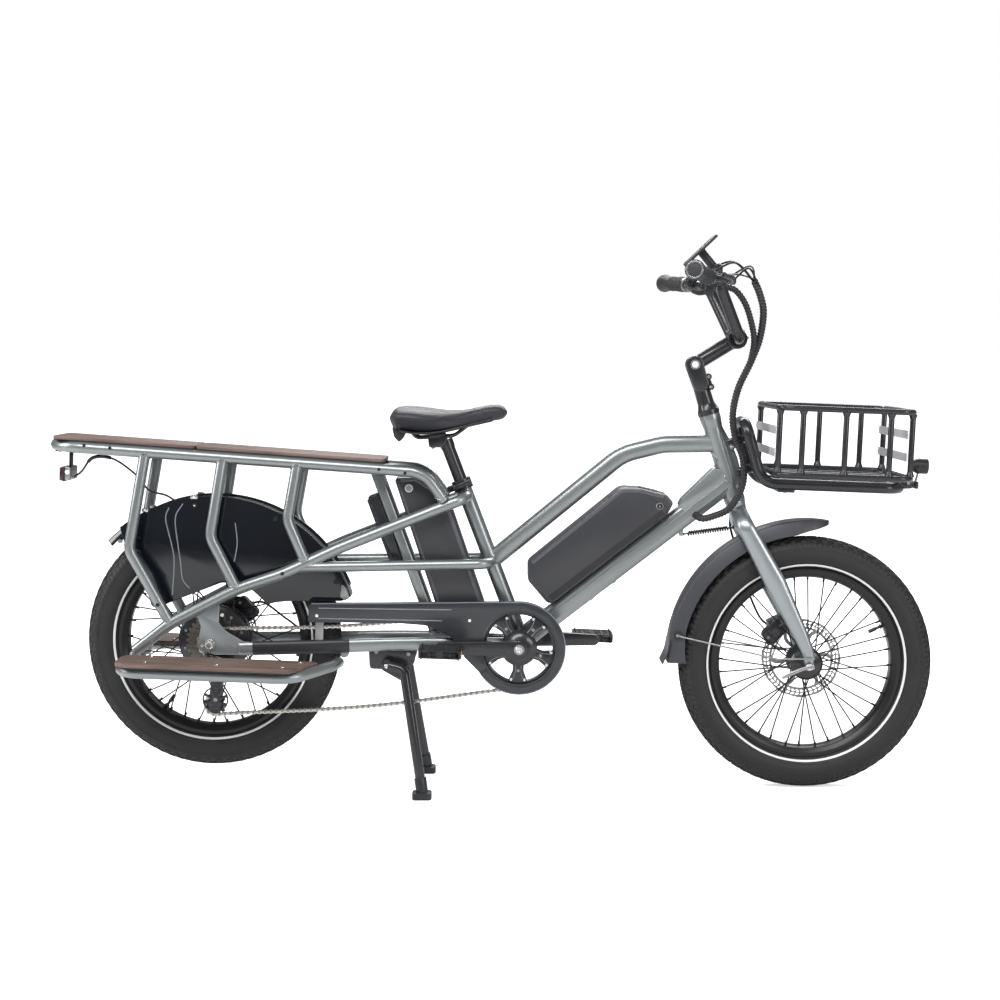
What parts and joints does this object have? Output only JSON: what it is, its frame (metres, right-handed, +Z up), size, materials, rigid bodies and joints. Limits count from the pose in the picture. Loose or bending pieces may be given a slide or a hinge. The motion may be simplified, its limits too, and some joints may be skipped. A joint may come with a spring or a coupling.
{
  "type": "electric bicycle",
  "caption": "Longtail cargo bicycle with electric drive, fat small wheels, rear deck, foot boards, front basket and centre stand.",
  "frame": {"origin": "centre of the bounding box at ground level; the front tyre and both feet of the stand touch z=0", "axes": "+X forward, +Y to the rider's left, +Z up"},
  "size_m": [1.939, 0.6866, 1.2209],
  "materials": {
    "frame_paint": "metallic grey-green paint, satin clear coat",
    "fork_paint": "metallic silver paint",
    "black_metal": "satin black powder coat",
    "steel": "bright plated steel",
    "tyre_rubber": "black tyre rubber with a white side line",
    "grip_rubber": "soft matt rubber",
    "black_plastic": "moulded matt plastic",
    "guard_plastic": "gloss blue-black plastic",
    "battery_plastic": "satin dark grey plastic",
    "wood": "oiled walnut-brown board",
    "saddle_cover": "matt dark grey cover",
    "black_alloy": "black anodised alloy"
  },
  "bodies": {
    "frame": {"main_frame": "frame_paint", "side_truss_right": "frame_paint", "side_truss_left": "frame_paint", "rack_rail": "frame_paint", "deck_board_front": "wood", "deck_board_rear": "wood", "rear_mudguard": "guard_plastic", "skirt_guard_right": "guard_plastic", "skirt_guard_left": "guard_plastic", "chainstay_right": "frame_paint", "chainstay_left": "frame_paint", "footrest_tube_right": "frame_paint", "footrest_tube_left": "frame_paint", "footboard_right": "wood", "footboard_left": "wood", "rear_axle": "steel", "chain": "steel", "derailleur": "black_plastic", "chain_guard": "black_plastic", "damper_spring": "black_metal", "rear_caliper": "black_alloy", "front_carrier": "black_metal", "basket": "black_metal", "tail_light": "black_plastic", "battery_post": "frame_paint", "seat_collar": "black_alloy", "stand_bracket": "black_metal"},
    "fork_unit": {"fork": "fork_paint", "front_fender": "guard_plastic", "stem_post": "black_alloy", "front_caliper": "black_alloy", "loom_lower": "black_plastic"},
    "bar_unit": {"stem_arm": "black_alloy", "handlebar": "black_alloy", "grip_right": "grip_rubber", "grip_left": "grip_rubber", "display": "black_plastic", "loom_upper": "black_plastic"},
    "front_wheel_unit": {"front_wheel": "black_alloy", "front_tyre": "tyre_rubber"},
    "axle_lever_unit": {"axle_lever": "steel"},
    "rear_wheel_unit": {"rear_wheel": "black_alloy", "rear_tyre": "tyre_rubber"},
    "cassette_unit": {"cassette": "steel"},
    "crank_unit": {"crankset": "black_alloy"},
    "pedal_right_unit": {"pedal_right": "black_plastic"},
    "pedal_left_unit": {"pedal_left": "black_plastic"},
    "guide_pulley_unit": {"guide_pulley": "black_plastic"},
    "tension_pulley_unit": {"tension_pulley": "black_plastic"},
    "stand_unit": {"centre_stand": "black_metal", "stand_spring": "steel"},
    "seat_unit": {"seatpost": "black_alloy", "saddle": "saddle_cover"},
    "seat_lever_unit": {"seat_lever": "black_alloy"},
    "headlight_unit": {"headlight": "black_plastic"},
    "front_battery_unit": {"front_battery": "battery_plastic"},
    "rear_battery_unit": {"rear_battery": "battery_plastic"},
    "brake_lever_right_unit": {"brake_lever_right": "black_alloy"},
    "brake_lever_left_unit": {"brake_lever_left": "black_alloy"},
    "shift_lever_unit": {"shift_lever": "black_plastic"}
  },
  "joints": [
    {"name": "steering", "type": "hinge", "parent": "frame", "child": "fork_unit", "pos_m": [0.53322, 0, 0.63656], "axis": [-0.292, 0, 0.9564], "range_deg": [-45, 45], "stiffness_Nm_per_rad": 6, "deforming": ["loom_lower"]},
    {"name": "stem_tilt", "type": "hinge", "parent": "fork_unit", "child": "bar_unit", "pos_m": [0.44138, 0, 0.93735], "axis": [0, -1, 0], "range_deg": [-20, 40]},
    {"name": "front_wheel_spin", "type": "hinge", "parent": "fork_unit", "child": "front_wheel_unit", "pos_m": [0.69031, 0, 0.28], "axis": [0, 1, 0], "continuous": true},
    {"name": "axle_lever_swing", "type": "hinge", "parent": "fork_unit", "child": "axle_lever_unit", "pos_m": [0.70034, -0.0753, 0.28061], "axis": [-0.3617, 0, 0.9323], "range_deg": [0, 100]},
    {"name": "rear_wheel_spin", "type": "hinge", "parent": "frame", "child": "rear_wheel_unit", "pos_m": [-0.61671, 0, 0.33072], "axis": [0, 1, 0], "continuous": true},
    {"name": "crank_spin", "type": "hinge", "parent": "frame", "child": "crank_unit", "pos_m": [0.05637, 0, 0.31961], "axis": [0, 1, 0], "continuous": true},
    {"name": "cassette_spin", "type": "hinge", "parent": "frame", "child": "cassette_unit", "pos_m": [-0.61671, 0, 0.33072], "axis": [0, 1, 0], "continuous": true},
    {"name": "guide_pulley_spin", "type": "hinge", "parent": "frame", "child": "guide_pulley_unit", "pos_m": [-0.60332, -0.056, 0.26315], "axis": [0, 1, 0], "continuous": true},
    {"name": "tension_pulley_spin", "type": "hinge", "parent": "frame", "child": "tension_pulley_unit", "pos_m": [-0.61003, -0.056, 0.19336], "axis": [0, 1, 0], "continuous": true},
    {"name": "pedal_right_spin", "type": "hinge", "parent": "crank_unit", "child": "pedal_right_unit", "pos_m": [-0.11359, 0, 0.32324], "axis": [0, 1, 0], "continuous": true},
    {"name": "pedal_left_spin", "type": "hinge", "parent": "crank_unit", "child": "pedal_left_unit", "pos_m": [0.22633, 0, 0.31599], "axis": [0, 1, 0], "continuous": true},
    {"name": "stand_fold", "type": "hinge", "parent": "frame", "child": "stand_unit", "pos_m": [-0.2323, 0, 0.28228], "axis": [0, 1, 0], "range_deg": [0, 78]},
    {"name": "seat_height", "type": "slide", "parent": "frame", "child": "seat_unit", "axis": [-0.3547, 0, 0.935], "range_m": [-0.02, 0.1]},
    {"name": "seat_lever_swing", "type": "hinge", "parent": "frame", "child": "seat_lever_unit", "pos_m": [-0.09427, -0.013, 0.66365], "axis": [0.3547, 0, -0.935], "range_deg": [0, 60]},
    {"name": "headlight_tilt", "type": "hinge", "parent": "frame", "child": "headlight_unit", "pos_m": [0.9129, 0, 0.67767], "axis": [0, 1, 0], "range_deg": [-10, 15]},
    {"name": "front_battery_slide", "type": "slide", "parent": "frame", "child": "front_battery_unit", "axis": [0.7905, 0, 0.6125], "range_m": [0, 0.018]},
    {"name": "rear_battery_slide", "type": "slide", "parent": "frame", "child": "rear_battery_unit", "axis": [-0.3074, 0, 0.9516], "range_m": [0, 0.018]},
    {"name": "brake_lever_right_pull", "type": "hinge", "parent": "bar_unit", "child": "brake_lever_right_unit", "pos_m": [0.4979, -0.19631, 1.11637], "axis": [0, 0, 1], "range_deg": [0, 12], "stiffness_Nm_per_rad": 0.8, "springref_deg": -17.19},
    {"name": "brake_lever_left_pull", "type": "hinge", "parent": "bar_unit", "child": "brake_lever_left_unit", "pos_m": [0.4979, 0.19631, 1.11637], "axis": [0, 0, -1], "range_deg": [0, 12], "stiffness_Nm_per_rad": 0.8, "springref_deg": -17.19},
    {"name": "shift_lever_push", "type": "hinge", "parent": "bar_unit", "child": "shift_lever_unit", "pos_m": [0.45192, -0.15417, 1.09485], "axis": [0, 0, 1], "range_deg": [-15, 15], "stiffness_Nm_per_rad": 0.2}
  ],
  "couplings": [
    {"joint": "cassette_spin", "follows": "crank_spin", "ratio": 3.1429},
    {"joint": "guide_pulley_spin", "follows": "crank_spin", "ratio": -4},
    {"joint": "tension_pulley_spin", "follows": "crank_spin", "ratio": 4}
  ]
}
